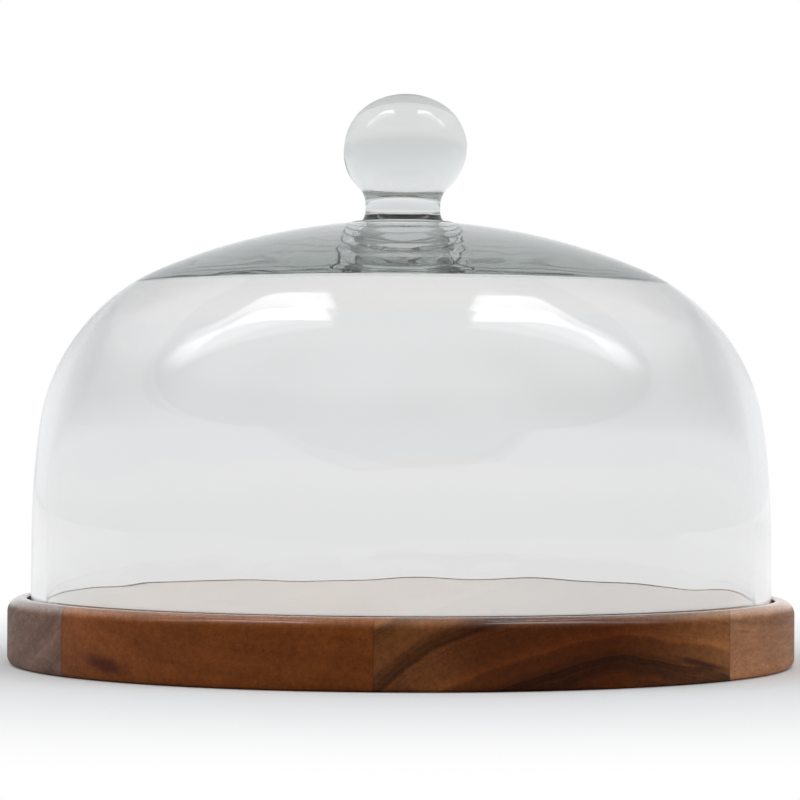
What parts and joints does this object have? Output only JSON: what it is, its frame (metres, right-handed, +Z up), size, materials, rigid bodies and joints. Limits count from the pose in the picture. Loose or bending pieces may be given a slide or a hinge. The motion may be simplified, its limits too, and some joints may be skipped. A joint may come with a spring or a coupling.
{
  "type": "cheese dome",
  "caption": "Clear blown-glass bell with a ball knob, standing in the groove of a round wooden board made of edge-glued staves.",
  "frame": {"origin": "centre of the board's underside, on the surface it stands on", "axes": "+Z up along the axis of the bell, the knob and the board; the staves run front to back, close to Y, with their end grain on the front and back of the rim; +X to the right"},
  "size_m": [0.3, 0.3, 0.218],
  "materials": {
    "clear_glass": "clear, fire-polished, slightly uneven",
    "grey_brown_wood": "oiled satin, end grain on the rim",
    "red_brown_wood": "oiled satin, end grain on the rim",
    "olive_brown_wood": "oiled satin, with dark figure",
    "tan_wood": "oiled satin, end grain on the rim"
  },
  "bodies": {
    "board": {"left_edge_stave": "grey_brown_wood", "left_stave": "red_brown_wood", "right_stave": "olive_brown_wood", "right_edge_stave": "tan_wood"},
    "bell": {"glass_bell": "clear_glass", "glass_knob": "clear_glass"}
  },
  "joints": [
    {"name": "bell_lift", "type": "slide", "parent": "board", "child": "bell", "axis": [0, 0, 1], "range_m": [0, 0.2]}
  ]
}
